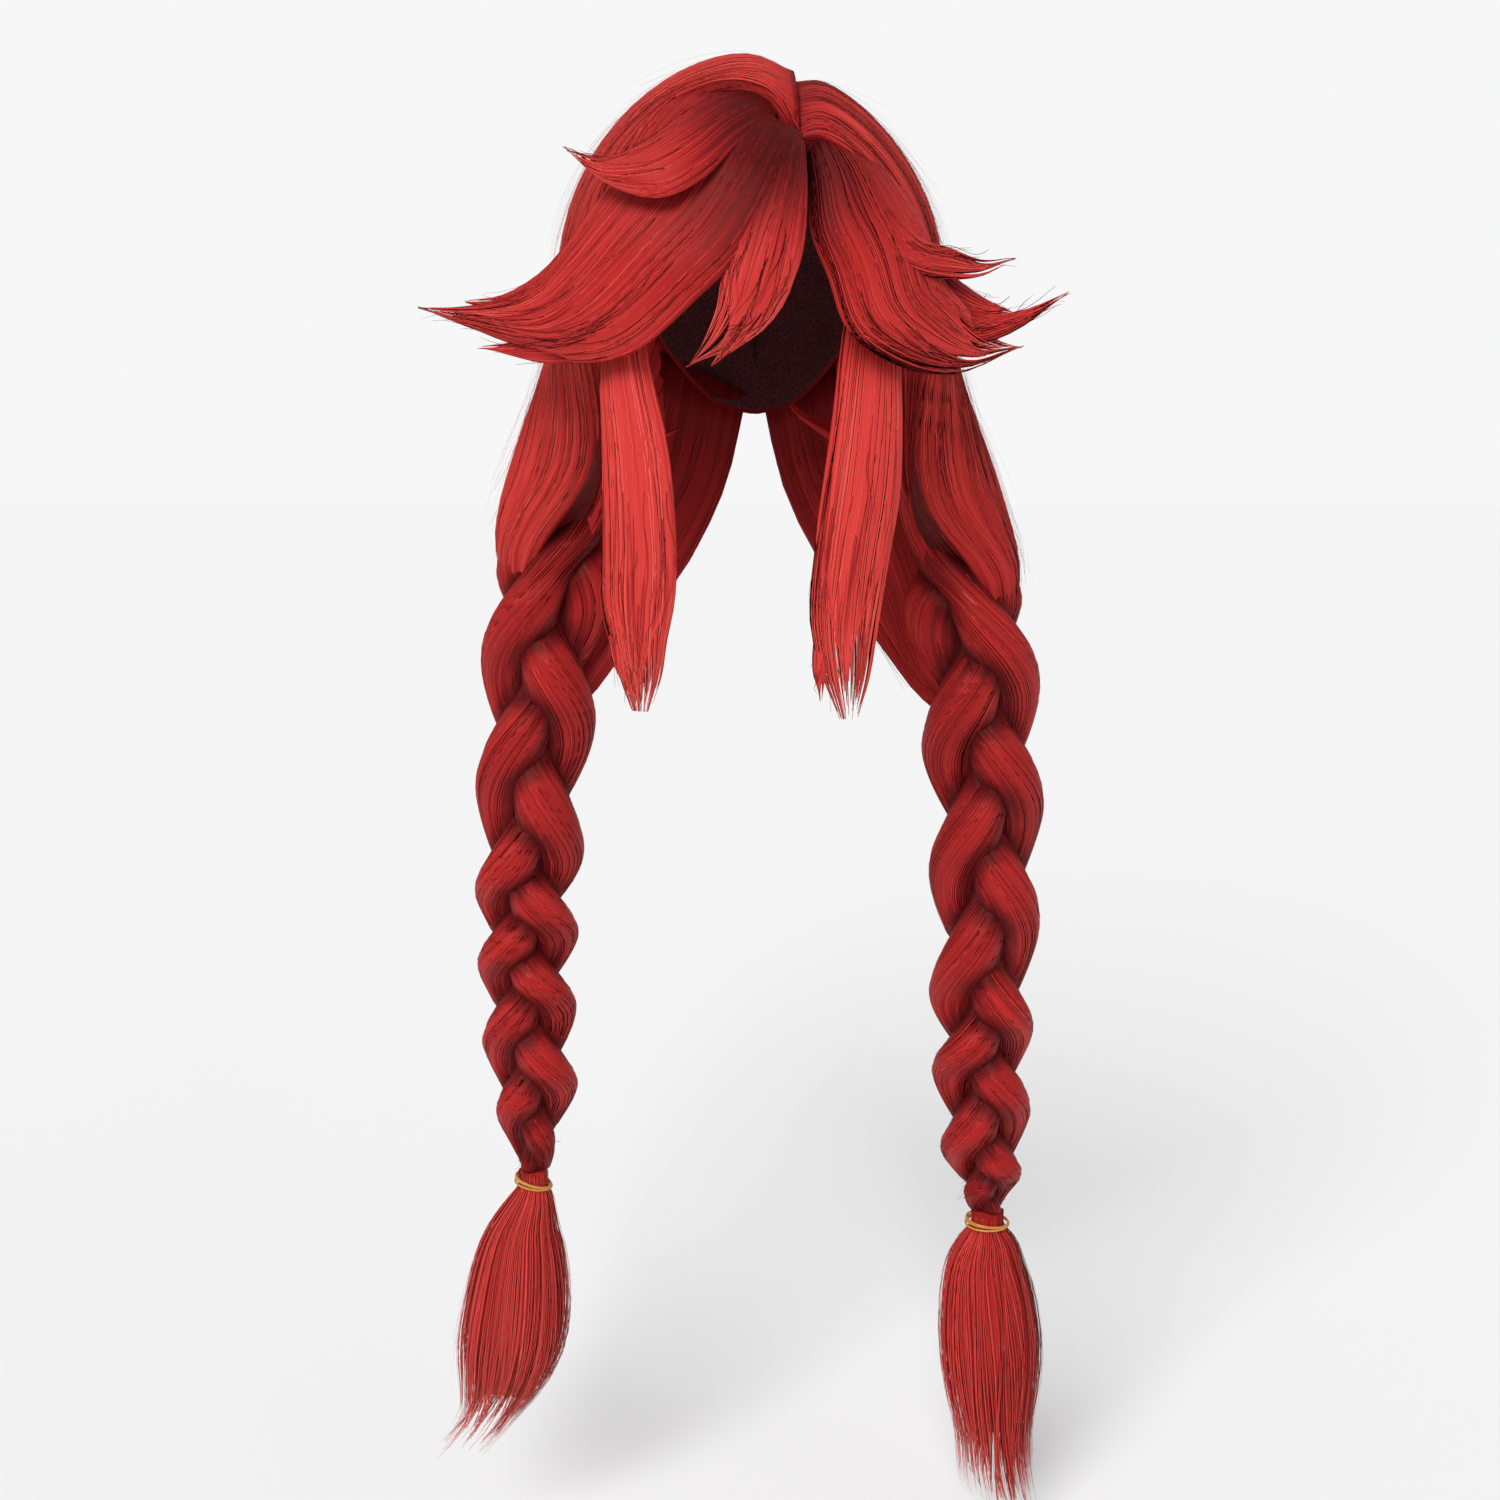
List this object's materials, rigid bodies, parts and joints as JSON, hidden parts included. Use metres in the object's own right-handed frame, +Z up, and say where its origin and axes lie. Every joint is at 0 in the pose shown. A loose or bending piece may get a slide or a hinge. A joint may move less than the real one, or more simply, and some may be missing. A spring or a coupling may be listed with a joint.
{
  "type": "cosplay wig",
  "caption": "Long red synthetic wig with a side parting, swept flicked fringe, straight face-framing locks and thick plaited braids ending in banded tufts; worn over the head as false hair.",
  "frame": {"origin": "inside top of the net cap, where the top of the head sits", "axes": "+Z up along the standing head, -Y the way the face looks, +X to the right as seen from the front"},
  "size_m": [0.408, 0.2336, 0.9533],
  "materials": {
    "hair": "soft sheen of straight synthetic fibre",
    "cap_net": "matt stretch net with sewn rows",
    "hair_tie": "translucent amber elastic"
  },
  "bodies": {
    "root": {"cap": "cap_net", "crown_hair_left": "hair", "crown_hair_right": "hair", "nape_hair_left": "hair", "nape_hair_right": "hair", "fringe_left": "hair", "fringe_top_flick": "hair", "fringe_centre": "hair", "fringe_right": "hair", "fringe_right_upper": "hair", "side_lock_left": "hair", "side_lock_right": "hair", "braid_left": "hair", "braid_right": "hair", "tail_left": "hair", "tail_right": "hair", "tie_left": "hair_tie", "tie_right": "hair_tie"}
  },
  "joints": []
}
